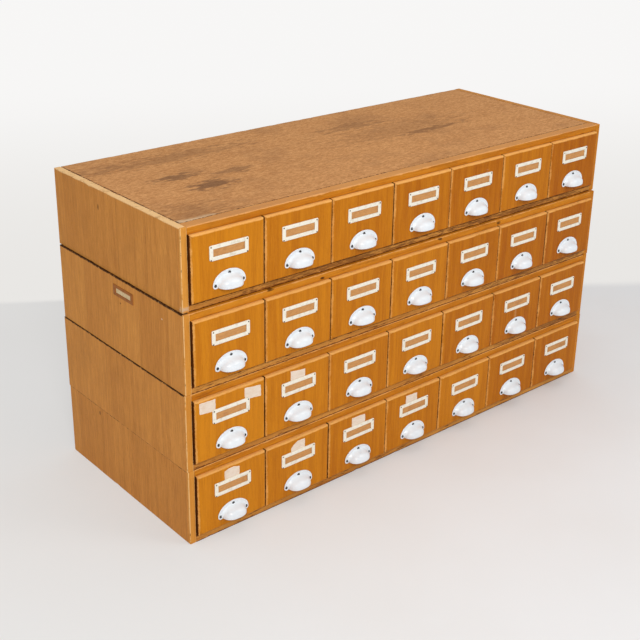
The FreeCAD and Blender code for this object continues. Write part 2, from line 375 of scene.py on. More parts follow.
# A material, its nodes and its shader
def newMaterial(name):
    material = bpy.data.materials.new(name)
    material.use_nodes = True
    tree = material.node_tree
    return material, tree, tree.nodes["Principled BSDF"]


# Wood fibres: noise drawn out along Z for broad figure, fine lines and short dark flecks
def makeGrain(grain, figure, fibre, fleck):
    bend = vectorMaths("SUBTRACT", noise(grain, 5.0, 1.0, output=1), (0.5, 0.5, 0.5))
    place = vectorMaths("ADD", grain, stretch(bend, (0.012, 0.012, 0.0)))
    broad = ramp(noise(stretch(place, (1, 1, 0.05)), 75.0, 2.0, 0.55), 0.3, 0.7, -1.0, 1.0)
    bands = ramp(noise(stretch(place, (1, 1, 0.03)), 260.0, 2.0, 0.6), 0.32, 0.68, -1.0, 1.0)
    fine = ramp(noise(stretch(place, (1, 1, 0.022)), 1100.0, 3.0, 0.65), 0.32, 0.68, -1.0, 1.0)
    flecks = ramp(noise(stretch(place, (1, 1, 0.11)), 1500.0, 1.0, 0.4), 0.64, 0.74)
    broad = times(timesPlus(bands, 0.55, broad), figure)
    tone = timesPlus(plus(broad, times(fine, fibre)), 0.5, 0.5)
    flecks = times(flecks, fleck, clamp=True)
    return {"Tone": tone, "Flecks": flecks, "Height": minus(times(fine, 0.5), flecks)}


# Worn edges: the edge mark, broken up by noise of two sizes
def makeWear(edge, place, reach, breaks):
    coarse = noise(place, 28.0, 3.0, 0.6)
    fine = noise(place, 240.0, 2.0, 0.6)
    broken = times(minus(timesPlus(fine, 0.5, coarse), 0.75), breaks)
    level = plus(edge, times(broken, 3.0))
    wear = ramp(minus(level, minus(1.0, reach)), 0.0, 0.4)
    nicks = ramp(times(edge, noise(place, 95.0, 4.0, 0.7)), 0.56, 0.64)
    return {"Wear": wear, "Nicks": nicks}


# Dirt: soft blotches of noise
def makeGrime(place, scale, amount):
    blot = noise(place, scale, 4.0, 0.6)
    return {"Mask": times(ramp(blot, 0.48, 0.72), amount)}


# One mark at a place: 1 inside an ellipsoid, its border broken up by drawn-out noise
def makeSpot(place, centre, size, drawnOut, scale, ragged):
    away = vectorMaths("SUBTRACT", place, centre)
    away = vectorMaths("LENGTH", vectorMaths("DIVIDE", away, size))
    blot = noise(stretch(place, drawnOut), scale, 3.0, 0.65)
    rough = times(minus(blot, 0.5), times(ragged, 6.0))
    inside = plus(minus(1.0, away), rough)
    return {"Mask": times(ramp(inside, 0.0, 0.6), ramp(away, 1.9, 1.2))}


# Strips of veneer side by side along Y: a tone for each strip and unit, and a thin line between two
def makeVeneer(place, wide, unitHigh):
    parts = joinNode("SeparateXYZ", {0: place}).outputs
    row = times(maths("FLOOR", maths("DIVIDE", parts["Z"], unitHigh)), 7.31)
    at = plus(maths("DIVIDE", parts["Y"], wide), row)
    strip = maths("FLOOR", at)
    seed = joinNode("TexWhiteNoise", {"W": plus(strip, row)}, noise_dimensions="1D").outputs["Value"]
    return {"Tone": timesPlus(seed, 2.0, -1.0), "Joint": ramp(minus(at, strip), 0.015, 0.0)}


# Dark splinters along X: thin drawn-out noise, only where a coarser noise lets it through
def makeStreaks(place, amount):
    lines = noise(stretch(place, (0.09, 1, 1)), 420.0, 3.0, 0.65)
    gate = noise(stretch(place, (0.4, 1, 1)), 42.0, 2.0, 0.5)
    return {"Mask": times(times(ramp(lines, 0.54, 0.64), ramp(gate, 0.46, 0.58)), amount)}


grainGroup = newGroup("woodGrain", makeGrain, Grain=None, Figure=0.5, Fibre=0.5, Fleck=0.5)
wearGroup = newGroup("edgeWear", makeWear, Edge=0.0, Place=None, Reach=0.5, Breaks=0.5)
grimeGroup = newGroup("grime", makeGrime, Place=None, Scale=10.0, Amount=0.5)
spotGroup = newGroup(
    "spot", makeSpot, Place=None, Centre=None, Size=None, Stretch=None, Scale=100.0, Rough=0.5)
veneerGroup = newGroup("veneerStrips", makeVeneer, Place=None, Wide=0.1, UnitHigh=0.15)
streakGroup = newGroup("streaks", makeStreaks, Place=None, Amount=0.5)

# Finishes of the wood: the two colours of its figure, its worn edge, its dirt (dirt), and deep,
# its blackest colour, which the mesh's dirt mark lays as painted shade and some spots take as dark
# marks; and how strong each part is where it differs from makeWood's own values
woodFinishes = {
    "frontWood": dict(
        light=(210, 132, 22), dark=(164, 85, 2), worn=(240, 178, 100),
        dirt=(124, 66, 10), deep=(84, 42, 10),
        figure=0.28, fibre=0.26, fleck=0.3, reach=0.5, breaks=0.2, grime=0.06, gloss=0.42),
    "sideWood": dict(
        light=(222, 152, 72), dark=(188, 120, 50), worn=(248, 204, 146),
        dirt=(96, 56, 24), deep=(70, 40, 14),
        figure=0.3, fibre=0.65, fleck=0.4, breaks=0.3, grime=0.1, speckle=0.12, strips=0.094),
    "lipWood": dict(
        light=(224, 156, 68), dark=(200, 128, 46), worn=(238, 192, 132),
        dirt=(110, 66, 28), deep=(58, 30, 10), figure=0.4, fleck=0.3),
    "railWood": dict(
        light=(214, 138, 34), dark=(182, 104, 16), worn=(226, 162, 92),
        dirt=(110, 58, 16), deep=(58, 28, 8), fleck=0.4, breaks=0.5, streak=0.35, gloss=0.45),
    "lowRailWood": dict(
        light=(216, 152, 72), dark=(180, 112, 42), worn=(222, 168, 112),
        dirt=(96, 48, 16), deep=(100, 50, 14),
        figure=0.6, fibre=0.5, reach=0.25, breaks=0.8, speckle=0.15, streak=0.85),
    "topWood": dict(
        light=(222, 162, 104), dark=(178, 119, 68), worn=(224, 172, 116),
        dirt=(124, 84, 56), deep=(86, 52, 30),
        figure=0.12, fibre=0.3, fleck=0.35, reach=0.05, breaks=0.9, grime=0.25, speckle=0.85, gloss=0.7),
    "boxWood": dict(
        light=(216, 178, 124), dark=(184, 142, 90), worn=(222, 190, 142),
        dirt=(120, 86, 50), deep=(80, 50, 24), reach=0.2, grime=0.25, gloss=0.6),
    "innerWood": dict(
        light=(150, 100, 54), dark=(112, 70, 34), worn=(170, 122, 76),
        dirt=(70, 40, 18), deep=(50, 26, 10), reach=0.2, grime=0.35, gloss=0.65),
}

# Single marks of each finish: centre and half size in millimetres from the cabinet's front left foot, how
# ragged the border is, how strong it is, and which colour of the finish or what other colour it takes.
# A size of 20 or more across a board only makes sure that its whole face is inside
woodSpots = {
    "sideWood": [
        ((0, 202, 403), (60, 2.2, 2.2), 0.1, 0.9, "deep"),
        ((0, 66, 421), (60, 2.5, 1.8), 0.2, 0.8, (236, 218, 190)),
        ((0, 269, 566), (60, 4, 7), 0.15, 0.6, "dirt"),
        ((0, 304, 136), (60, 4, 6), 0.15, 0.6, "dirt"),
        ((0, 8, 456), (60, 9, 7), 0.3, 0.7, (206, 180, 150)),
    ],
    "lipWood": [
        ((6, 2, 456), (20, 9, 7), 0.3, 0.7, (206, 180, 150)),
    ],
    "railWood": [
        ((301, 0, 441), (7, 12, 3), 0.2, 0.9, "deep"),
        ((181, 0, 449), (9, 20, 2.5), 0.3, 0.8, "deep"),
        ((603, 0, 447), (8, 20, 3.5), 0.3, 0.8, "deep"),
        ((774, 0, 443), (9, 12, 4), 0.3, 0.8, "deep"),
        ((545, 11, 600), (2000, 30, 2), 0.15, 0.45, (228, 168, 108)),
    ],
    "lowRailWood": [
        ((400, 6, 456), (240, 30, 9), 1.3, 0.6, (96, 52, 24)),
        ((870, 6, 456), (260, 30, 9), 1.2, 0.6, (96, 54, 28)),
        ((930, 6, 306), (220, 30, 9), 1.1, 0.55, (96, 54, 28)),
        ((960, 6, 156), (180, 30, 9), 1.1, 0.55, (96, 54, 28)),
    ],
    "topWood": [
        ((40, 30, 600), (60, 12, 30), 0.35, 0.7, (240, 208, 168)),
        ((150, 240, 600), (62, 20, 30), 0.45, 0.6, (96, 66, 48)),
        ((182, 168, 600), (62, 30, 30), 0.45, 0.65, (92, 62, 46)),
        ((262, 214, 600), (54, 20, 30), 0.45, 0.45, (96, 66, 48)),
        ((650, 318, 600), (100, 30, 30), 0.5, 0.4, (110, 74, 48)),
        ((784, 202, 600), (120, 14, 30), 0.4, 0.45, (104, 68, 44)),
        ((720, 240, 600), (230, 60, 30), 0.5, 0.22, (104, 68, 44)),
        ((210, 352, 600), (230, 34, 30), 0.6, 0.35, (104, 68, 44)),
        ((70, 60, 600), (90, 60, 30), 0.6, 0.25, (104, 68, 44)),
    ],
    "frontWood": [
        ((728, -8, 560), (6, 9, 22), 0.35, 0.4, (206, 160, 120)),
        ((846, -8, 222), (4, 9, 50), 0.4, 0.4, (190, 150, 110)),
    ],
}


# The colour with the marks of one finish laid over it, each by its mask times its strength
def addSpots(place, name, tints, colour):
    corner = [stack["left"], stack["front"], 0]
    drawnOut = (0.08 if "Rail" in name else 0.35, 1.0, 1.0)
    scale = {"topWood": 90.0, "lowRailWood": 620.0}.get(name, 320.0)
    for centre, size, ragged, strength, tint in woodSpots.get(name, ()):
        mask = useGroup(
            spotGroup, Place=place, Centre=tuple((np.array(centre) + corner) * 0.001),
            Size=tuple(np.array(size) * 0.001), Stretch=drawnOut, Scale=scale, Rough=ragged)["Mask"]
        colour = mix(times(mask, strength), colour, tints.get(tint) or shade(*tint))
    return colour


# Grain between two colours, then tone, speckle, flecks, dirt, worn edges, nicks, single marks and last
# the deep colour, painted shade where the mesh's dirt mark lies. Strips is the width in metres of
# strips of veneer, or 0 for solid wood
def makeWood(name, figure=0.5, fibre=0.4, fleck=0.5, reach=0.4, breaks=0.6, grime=0.2, speckle=0.1,
             streak=0.0, gloss=0.5, strips=0.0, **colours):
    material, tree, shader = newMaterial(name)
    tints = {key: shade(*colour) for key, colour in colours.items()}
    place, grainPlace = objectPlace(tree), mark(tree, "grain", "Vector")
    grain = useGroup(grainGroup, Grain=grainPlace, Figure=figure, Fibre=fibre, Fleck=fleck)
    wear = useGroup(wearGroup, Edge=mark(tree, "edge"), Place=place, Reach=reach, Breaks=breaks)
    dots = noise(stretch(grainPlace, (1, 1, 0.4)), 330.0, 4.0, 0.75)
    level = plus(grain["Tone"], mark(tree, "tone"))
    level = plus(level, times(ramp(dots, 0.3, 0.7, -1.0, 1.0), speckle * 0.55))
    blots = useGroup(grimeGroup, Place=place, Scale=11.0, Amount=grime)["Mask"]
    stains = [times(grain["Flecks"], 0.55), blots]
    if strips:
        veneer = useGroup(veneerGroup, Place=place, Wide=strips, UnitHigh=stack["unitHigh"] * 0.001)
        level = timesPlus(veneer["Tone"], 0.14, level)
        stains.insert(0, times(veneer["Joint"], 0.35))
    if streak:
        stains.append(useGroup(streakGroup, Place=place, Amount=streak)["Mask"])
    colour = mix(maths("MAXIMUM", level, 0.0, clamp=True), tints["dark"], tints["light"])
    for stain in stains:
        colour = mix(stain, colour, tints["dirt"])
    colour = mix(times(wear["Wear"], 0.85), colour, tints["worn"])
    colour = mix(times(wear["Nicks"], breaks), colour, tints["dirt"])
    colour = addSpots(place, name, tints, colour)
    # Painted shade: the deep colour where the dirt mark lies, in gaps, joints and under the fronts, its
    # border broken by noise
    broken = minus(noise(place, 160.0, 3.0, 0.7), 0.5)
    colour = mix(ramp(timesPlus(broken, 1.2, mark(tree, "dirt")), 0.3, 0.7), colour, tints["deep"])
    rough = timesPlus(grain["Tone"], 0.08, timesPlus(wear["Wear"], 0.15, gloss))
    height = timesPlus(dots, speckle * 2.0, minus(grain["Height"], times(wear["Nicks"], 2.0)))
    fillInputs(shader, {"Base Color": colour, "Roughness": rough, "Specular IOR Level": 0.1,
                        "Normal": bump(height, 0.00012, 0.6)})
    return material


wood = {name: makeWood(name, **finish) for name, finish in woodFinishes.items()}


# White enamel: thick and glossy, faintly uneven, with a few dark chips on its rims
def makeEnamel():
    material, tree, shader = newMaterial("whiteEnamel")
    place = objectPlace(tree)
    grime = useGroup(grimeGroup, Place=place, Scale=60.0, Amount=0.25)["Mask"]
    chips = ramp(times(mark(tree, "edge"), noise(place, 420.0, 3.0, 0.7)), 0.6, 0.66)
    colour = mix(grime, shade(235, 239, 243), shade(208, 213, 220))
    colour = mix(chips, colour, shade(92, 74, 62))
    fillInputs(shader, {
        "Base Color": colour, "Roughness": ramp(chips, 0, 1, 0.3, 0.6), "Coat Weight": 0.25,
        "Coat Roughness": 0.15, "Normal": bump(minus(noise(place, 90.0, 2.0, 0.5), chips), 0.0004, 0.35)})
    return material


# Stamped metal under paint or lacquer, rubbed through on its edges
def makePaint(name, colour, worn, rough, metal):
    material, tree, shader = newMaterial(name)
    place = objectPlace(tree)
    nicks = useGroup(wearGroup, Edge=mark(tree, "edge"), Place=place, Reach=0.3, Breaks=0.8)["Nicks"]
    grime = useGroup(grimeGroup, Place=place, Scale=120.0, Amount=0.35)["Mask"]
    base = mix(times(nicks, 0.6), mix(grime, shade(*colour), shade(*worn)), shade(*worn))
    fillInputs(shader, {
        "Base Color": base, "Roughness": timesPlus(grime, 0.3, rough), "Metallic": metal,
        "Normal": bump(minus(noise(place, 300.0, 2.0), nicks), 0.0002, 0.4)})
    return material


# Paper or card: a mottled sheet with fibres and stains
def makePaper(name, colour, stain, fibres):
    material, tree, shader = newMaterial(name)
    place = objectPlace(tree)
    grime = useGroup(grimeGroup, Place=place, Scale=70.0, Amount=0.6)["Mask"]
    thread = noise(stretch(place, (0.25, 1, 1)), fibres, 3.0, 0.7)
    base = mix(ramp(thread, 0.35, 0.7, 0.0, 0.5), shade(*colour), shade(*stain))
    fillInputs(shader, {"Base Color": mix(grime, base, shade(*stain)), "Roughness": 0.85,
                        "Normal": bump(thread, 0.0002, 0.5)})
    return material


enamel = makeEnamel()
creamPaint = makePaint("creamPaint", (242, 236, 220), (176, 150, 108), 0.4, 0.0)
brownBrass = makePaint("brownBrass", (164, 94, 18), (92, 50, 12), 0.6, 0.15)
screwSteel = makePaint("screwSteel", (58, 54, 54), (28, 24, 22), 0.5, 0.2)
pinSteel = makePaint("pinSteel", (96, 84, 66), (52, 40, 28), 0.5, 0.3)
tanCard = makePaper("tanCard", (206, 148, 86), (176, 118, 66), 520.0)
barePaper = makePaper("barePaper", (228, 204, 158), (178, 136, 84), 400.0)
pinkTape = makePaper("pinkTape", (236, 219, 202), (222, 196, 170), 300.0)
print("materials made")

# Carcasses: outer sizes, edge radii, the gap round the top panel and how finely the edges are shaped
carcass = dict(
    wide=1091.5, deep=420.0, side=13.0, sideRound=1.4, railRound=0.7, panelRound=0.8, panelGap=1.1,
    step=5.0, hiddenStep=80.0, firstDivider=162.75,
)


# Sides, rails, panels, back and dividers of one unit. A row gives a board's name and finish, then its low
# and high corner, grain axis, radius and step, its chips to a metre, narrowEdge, paintedEdgeShade and worn.
# paintedEdgeShade is painted shade: on the sides' top edges at the joints between units, round the top
# panel, and on the bottom rail's edges under the fronts and at its lower edge
def buildCarcass(unit):
    first, seed, place = unit == 1, 100 * unit, unitPlace(unit)
    wide, deep, left = carcass["wide"], carcass["deep"], carcass["side"]
    right, gap = wide - left, carcass["panelGap"]
    shown, hidden = carcass["step"], carcass["hiddenStep"]
    lip, rail, panel = carcass["sideRound"], carcass["railRound"], carcass["panelRound"]
    # Painted shade at the joints: jointShade darkens the top edges of the sides of every unit below the
    # first
    chips, narrow, jointShade = (10, 0.0, 0.0) if first else (4, 1.0, 0.9)
    sideWorn = (1.0, 0.1, 0.0) if first else (0.8, 0.0, 0.0)
    topFinish, topStep = ("topWood", shown) if first else ("innerWood", hidden)
    rows = [
        ("LeftSide", "sideWood", (0, 5, 0), (left, deep, 150), 2, panel, shown, chips, 1.0, jointShade,
         sideWorn),
        ("RightSide", "sideWood", (right, 5, 0), (wide, deep, 150), 2, panel, shown, chips, narrow, jointShade,
         (0.3, 0, 0)),
        ("LeftLip", "lipWood", (0, 0, 0), (left, 5, 150), 2, lip, 3.0, 50, 0.0, 0.0, (1, 1, 0.5)),
        ("RightLip", "railWood", (right, 0, 0), (wide, 5, 150), 2, lip, 3.0, 30, 0.0, 0.0, (0.4, 0.4, 0.3)),
        ("TopRail", "railWood", (left, 0, 137), (right, 22, 150), 0, rail, shown, 10, 0.0, 0.0,
         (1, 0.2, 0)),
        ("BottomRail", "lowRailWood", (left, 0, 0), (right, 18, 13.5), 0, rail, shown, 16, 0.0, 0.9,
         (1, 0.9, 0)),
        ("TopPanel", topFinish, (left + gap, 22 + gap, 141), (right - gap, deep, 150 - 0.2 * gap), 0, panel,
         topStep, 40, 0.0, 0.55),
        ("BottomPanel", "innerWood", (left, 18, 4.5), (right, 415, 13.5), 0, 0.8, hidden),
        ("BackPanel", "innerWood", (left, 415, 0), (right, deep, 141), 0, 0.6, hidden),
    ]
    for k, (title, finish, *shape) in enumerate(rows):
        carcassPiece(unit, f"unit{unit}{title}", board(seed + k, place, *shape), wood[finish])
    dividers = []
    for k in range(stack["columns"] - 1):
        x = carcass["firstDivider"] + k * stack["pitch"]
        dividers.append(board(seed + 20 + k, place, (x, 22, 13.5), (x + 6, 415, 141), 1, 0.8, hidden))
    carcassPiece(unit, f"unit{unit}Dividers", joinShapes(dividers), wood["innerWood"])


for unit in range(1, stack["units"] + 1):
    buildCarcass(unit)
print("carcasses made")

# Drawer fronts: the profile (back, side, rounding, face) is carried round a rectangle with small corners.
# A back row gives the inset, the height above the back, the edge mark and the painted shade that darkens
# the front's sides where they sit in the gaps
drawerFront = dict(
    wide=150.1, low=14.3, high=136.6, face=-8.0, back=10.0, round=4.5, corner=2.2, roundSteps=6,
    backRows=((5, 0, 0, 1), (0.6, 0, 1, 1), (0, 0.6, 1, 1), (0, 9.3, 0, 1), (0, 10.1, 0.8, 0.8)),
    paintedRoundShade=(0.9, 0.6, 0.25), sideStep=6.0, wobble=0.25, wobbleStep=40.0, wearAndHighlightTop=1.0, wornSide=0.8,
    wornBottom=0.2, toneSpread=0.06, toneAndLightAcross=-0.1,
    tones={(4, 5): 0.18, (1, 6): 0.14, (1, 5): -0.06, (1, 7): -0.06, (2, 7): -0.06},
)


# A rectangle with rounded corners about its middle, as points in order, evenly set on its sides
def outline(wide, high, corner, step, arcSteps=3):
    signs = np.array([(1, 1), (-1, 1), (-1, -1), (1, -1)])
    middles = signs * [wide / 2 - corner, high / 2 - corner]
    arcs = [middles[k] + corner * np.stack(arc(90 * k, 90, arcSteps + 1), -1) for k in range(4)]
    parts = []
    for k in range(4):
        length = (wide if k % 2 == 0 else high) - 2 * corner
        share = np.linspace(0, 1, max(2, int(length / step)) + 1)[1:-1, None]
        parts += [arcs[k], arcs[k][-1] * (1 - share) + arcs[(k + 1) % 4][0] * share]
    return np.concatenate(parts)


# One front: insets and heights follow a quarter circle, and the painted shade of its sides and its wear
# fade along it
def buildFront(unit, column):
    rng = np.random.default_rng(1000 + 10 * unit + column)
    its = drawerFront
    radius, high, depth = its["round"], its["high"] - its["low"], its["back"] - its["face"]
    turn = np.radians(np.linspace(0, 90, its["roundSteps"] + 1))
    backInset, backOut, backEdge, paintedBackShade = np.array(its["backRows"], float).T
    inset = np.concatenate([backInset, radius * (1 - np.cos(turn)), [radius + 0.4, radius + 6]])
    out = np.concatenate([backOut, depth - radius * (1 - np.sin(turn)), [depth, depth]])
    roundEdge = 0.35 + 0.65 * np.clip(np.sin(turn) + 2 * np.cos(turn), 0, 1) * np.cos(turn) ** 0.5
    edge = np.concatenate([backEdge, roundEdge, [0.2, 0]])
    base = outline(its["wide"], high, its["corner"], its["sideStep"])
    reach = np.array([its["wide"], high]) / 2
    wobble = wander(np.arange(len(base)) * its["sideStep"], its["wobbleStep"], rng) * its["wobble"]
    rings = []
    for i, o in zip(inset, out):
        flat = np.clip(base, i - reach, reach - i)
        flat = flat - np.sign(base) * (wobble * min(i / radius, 1.0))[:, None]
        rings.append(np.stack([flat[:, 0], np.full(len(flat), its["back"] - o), flat[:, 1]], -1))
    rings = np.array(rings)
    points = rings.reshape(-1, 3) + drawerPlace(unit, column) + [0, 0, (its["high"] + its["low"]) / 2]
    before = len(its["backRows"])
    rowSmooth = [before <= row < before + its["roundSteps"] for row in range(len(rings) - 1)]
    smooth = np.concatenate([np.repeat(rowSmooth, len(base)), [False, False]])
    tone = its["tones"].get((unit, column), 0) + rng.normal(0, its["toneSpread"])
    # Painted light: the fronts are lighter to the left and darker to the right, partly the wood's own tone,
    # partly a painted fall of light from left to right
    tone += (column - 4) * its["toneAndLightAcross"]
    onTop, onBottom = base[:, 1] > high / 2 - 1, base[:, 1] < -high / 2 + 1
    # The top rounding takes the most worn colour: partly wear, partly a painted highlight where light from
    # above falls on it
    worn = np.where(onTop, its["wearAndHighlightTop"], np.where(onBottom, its["wornBottom"], its["wornSide"]))
    # Painted shade: the sides and their first roundings are dark in the gaps between fronts, and the
    # underside's rounding is dark under the front; the top side has none
    behind = np.concatenate([paintedBackShade, its["paintedRoundShade"], [0] * (len(turn) - 1)])[:, None] * ~onTop[None, :]
    below = onBottom[None, :] * np.clip(1.3 - 2.0 * inset / radius, 0, 1)[:, None]
    shape = makeShape(
        points, ringFaces(rings), smooth, (edge[:, None] * worn[None, :]).ravel(),
        grain=points * 0.001 + rng.uniform(0, 9, 3), tone=np.full(len(points), np.clip(tone, -0.3, 0.35)),
        dirt=np.clip(np.maximum(behind, below), 0, 1).ravel())
    drawerPiece(unit, column, f"drawer{unit}x{column}Front", shape, wood["frontWood"], "box")


# Box behind a front: each board's low and high corner and its grain axis
drawerBox = dict(
    boards=(((-72, 10, 14), (-64, 400, 94), 1), ((64, 10, 14), (72, 400, 94), 1),
            ((-64, 391, 16), (64, 400, 94), 0), ((-64, 10, 16), (64, 391, 20), 1)),
    round=1.2, step=40.0,
)


# Left side, right side, back and bottom as one piece
def buildBox(unit, column):
    seed, place = 5000 + 100 * unit + 10 * column, drawerPlace(unit, column)
    boards = [board(seed + k, place, *row, drawerBox["round"], drawerBox["step"])
              for k, row in enumerate(drawerBox["boards"])]
    drawerPiece(unit, column, f"drawer{unit}x{column}Box", joinShapes(boards), wood["boxWood"], "box")


for unit, column in everyDrawer():
    buildFront(unit, column)
    buildBox(unit, column)
print("drawers made")

# Cup pull: a sheet whose columns run round the arch from the left lug to the right one, and whose rows run
# from the outline over a bead, the flange and a fillet, and along great circles of an ellipsoid to the lip.
# A rim row gives how far inside the outline it lies, its height above the plate and its edge mark. The
# bead of the lip has its middle and its width as shares of the way to the lip, and its height
cupPull = dict(
    halfWide=34.0, high=25.3, level=37.2, lugRound=6.0, lugArc=(-52, -128), thick=1.2,
    dome=(24.6, 20.5, 15.4), domeLevel=36.6, lip=33.0, lipArc=(177, -174), lipBead=(0.965, 0.02, 0.45),
    columns=56, domeRows=18, rowEase=0.9,
    rimRows=((0, -0.55, 1), (0.12, -0.1, 1), (0.55, 0.35, 0.9), (1.3, 0.7, 0.7), (2.1, 0.35, 0.2),
             (2.9, 0.05, 0)),
    fillet=4.2, filletReach=13.0, planFullness=2.5, sideFullness=2.5, wall=1.1, tilt=0.5, tiltLevel=47.0,
    screws=((0.0, 55.9), (-28.6, 37.6), (28.6, 37.6)),
)


# Points evenly spaced along a path
def resample(path, count):
    run = np.append(0, np.cumsum(np.linalg.norm(np.diff(path, axis=0), axis=1)))
    at = np.linspace(0, run[-1], count)
    return np.stack([np.interp(at, run, path[:, k]) for k in range(path.shape[1])], -1)


# How much a point of a sphere moves out so that its section along two axes becomes a fuller oval: the
# length of its two parts over the root, of the order power, of the sum of their powers
def fuller(first, second, power):
    return np.hypot(first, second) / (first**power + second**power) ** (1 / power)


# The points of the sheet and their edge marks
def pullSheet():
    its = cupPull
    n = its["columns"] + 1
    size = np.array(its["dome"]) - 0.2
    lugX, lug = its["halfWide"] - its["lugRound"], arc(*its["lugArc"], 20)
    left = np.stack([-lugX + its["lugRound"] * lug[0], its["level"] + its["lugRound"] * lug[1]], -1)
    sweep = arc(180, -180, 120)
    arch = np.stack([its["halfWide"] * sweep[0], its["level"] + its["high"] * sweep[1]], -1)
    rim = resample(np.concatenate([left[:-1], arch, (left[::-1] * [-1, 1])[1:]]), n)
    start = math.degrees(math.asin((its["lip"] + 0.4 - its["domeLevel"]) / its["dome"][2]))
    footCos, footSin = arc(180 - start, 2 * start - 180, n)
    foot = np.stack([footCos, np.zeros(n), footSin], -1)
    drop = (its["lip"] - its["domeLevel"]) / its["dome"][2]
    span = math.sqrt(1 - drop * drop)
    lipCos, lipSin = arc(*its["lipArc"], n)
    lip = np.stack([span * lipCos, span * lipSin, np.full(n, drop)], -1)
    between = np.arccos(np.clip((foot * lip).sum(-1), -1, 1))[None, :, None]
    share = np.linspace(0, 1, its["domeRows"] + 1)[:, None, None] ** its["rowEase"]
    sphere = (np.sin((1 - share) * between) * foot + np.sin(share * between) * lip) / np.sin(between)
    x, y, z = np.moveaxis(np.abs(sphere) + 1e-9, -1, 0)
    plan = fuller(x, y, its["planFullness"])
    side = np.where(sphere[..., 2] > 0, fuller(y, z, its["sideFullness"]), 1.0)
    dome = sphere * np.stack([plan, plan * side, side], -1) * size
    out = np.clip(dome[..., 1], 0, size[1])
    flare = its["fillet"] * np.clip(1 - out / its["filletReach"], 0, 1) ** 2
    outward = sphere * [1, 0, 1]
    outward = outward / np.maximum(np.linalg.norm(outward, axis=-1, keepdims=True), 1e-6)
    near = np.clip(1.6 - share * 4, 0, 1) * np.clip(sphere[0, :, 2] * 4 + 1, 0, 1)[None, :, None]
    dome = dome + outward * flare[..., None] * near
    dome[..., 1] = out + its["thick"] * np.clip(1 - out / 6, 0, 1)
    beadAt, beadWide, beadHigh = its["lipBead"]
    dome = dome + sphere * [1, 1, 0.2] * (np.exp(-(((share - beadAt) / beadWide) ** 2)) * beadHigh)
    dome[..., 2] += its["domeLevel"]
    gap = dome[0][:, [0, 2]] - rim
    wide = np.linalg.norm(gap, axis=1, keepdims=True)
    rows = []
    for inside, rise, _ in its["rimRows"]:
        flat = rim + gap / wide * np.minimum(inside, wide * (0.1 + inside * 0.2))
        rows.append(np.stack([flat[:, 0], np.full(n, its["thick"] + rise), flat[:, 1]], -1))
    for part in (0.33, 0.66):
        row = rows[len(its["rimRows"]) - 1] * (1 - part) + dome[0] * part
        row[:, 1] = its["thick"]
        rows.append(row)
    edge = np.concatenate([[row[2] for row in its["rimRows"]], np.zeros(1 + its["domeRows"]), [0.7, 1]])
    return np.concatenate([np.array(rows), dome]) * [1, -1, 1], np.repeat(edge, n)


pullPoints, pullEdge = pullSheet()


# The sheet turned by a small random tilt about its middle, given a wall, and its screws
def buildPull(unit, column):
    rng = np.random.default_rng(2000 + 10 * unit + column)
    tilt = np.radians(rng.normal(0, cupPull["tilt"]))
    c, s = math.cos(tilt), math.sin(tilt)
    middle = np.array([0, 0, cupPull["tiltLevel"]])
    turned = (pullPoints.reshape(-1, 3) - middle) @ np.array([[c, 0, s], [0, 1, 0], [-s, 0, c]]) + middle
    shift = facePlace(unit, column)
    quads = gridQuads(gridIndex(pullPoints))[:, [0, 3, 2, 1]]
    shape = makeShape(turned + shift, quads.tolist(), True, pullEdge)
    pull = drawerPiece(unit, column, f"drawer{unit}x{column}Pull", shape, enamel)
    wall = pull.modifiers.new("wall", "SOLIDIFY")
    wall.thickness = cupPull["wall"] * 0.001
    wall.offset = -1
    rise = -cupPull["thick"] + screwHead["above"]
    heads = [headShape(screwHead["wide"], screwHead["high"], True, shift + [x, rise, z], rng)
             for x, z in cupPull["screws"]]
    drawerPiece(unit, column, f"drawer{unit}x{column}Screws", joinShapes(heads), screwSteel)


# Screw head: a square grid bent to a disc and raised to a low dome, with a sunk slot across it
screwHead = dict(wide=6.0, high=1.7, slotWide=0.17, slotDeep=0.75, above=0.25)


# The square's points go to the disc, each part times the root of 1 less half the other's square. The height
# follows a flat dome, and the slot's lines are pressed in
def headPoints(wide, high, turn, slotted):
    u = np.linspace(-1, 1, 9 if slotted else 6)
    w = screwHead["slotWide"]
    v = np.array([-1, -0.7, -0.4, -w - 0.03, -w + 0.03, w - 0.03, w + 0.03, 0.4, 0.7, 1]) if slotted else u
    u, v = np.meshgrid(u, v)
    x, y = u * np.sqrt(1 - v**2 / 2), v * np.sqrt(1 - u**2 / 2)
    reach = np.clip(np.hypot(x, y), 0, 1)
    rise = high * (0.25 + 0.75 * np.sqrt(np.clip(1 - reach**2.4, 0, 1)))
    if slotted:
        rise = rise - np.where(np.abs(v) < w, screwHead["slotDeep"], 0)
    c, s = math.cos(turn), math.sin(turn)
    r = wide / 2
    return np.stack([r * (x * c - y * s), -np.maximum(rise, 0.2), r * (x * s + y * c)], -1)


# The grid's faces, a skirt down to the surface and a face behind
def closeHead(grid):
    index = gridIndex(grid)
    loop = np.concatenate([index[0, :-1], index[:-1, -1], index[-1, :0:-1], index[:0:-1, 0]])
    points = grid.reshape(-1, 3)
    skirt = points[loop] * [1, 0, 1]
    ring = len(points) + np.arange(len(loop))
    wall = np.stack([loop, ring, np.roll(ring, -1), np.roll(loop, -1)], -1)
    faces = gridQuads(index).tolist() + wall.tolist() + [ring[::-1].tolist()]
    return np.concatenate([points, skirt]), faces


# One closed head at a place, turned at random
def headShape(wide, high, slotted, place, rng):
    points, faces = closeHead(headPoints(wide, high, rng.uniform(0, math.pi), slotted))
    return makeShape(points + place, faces, not slotted)


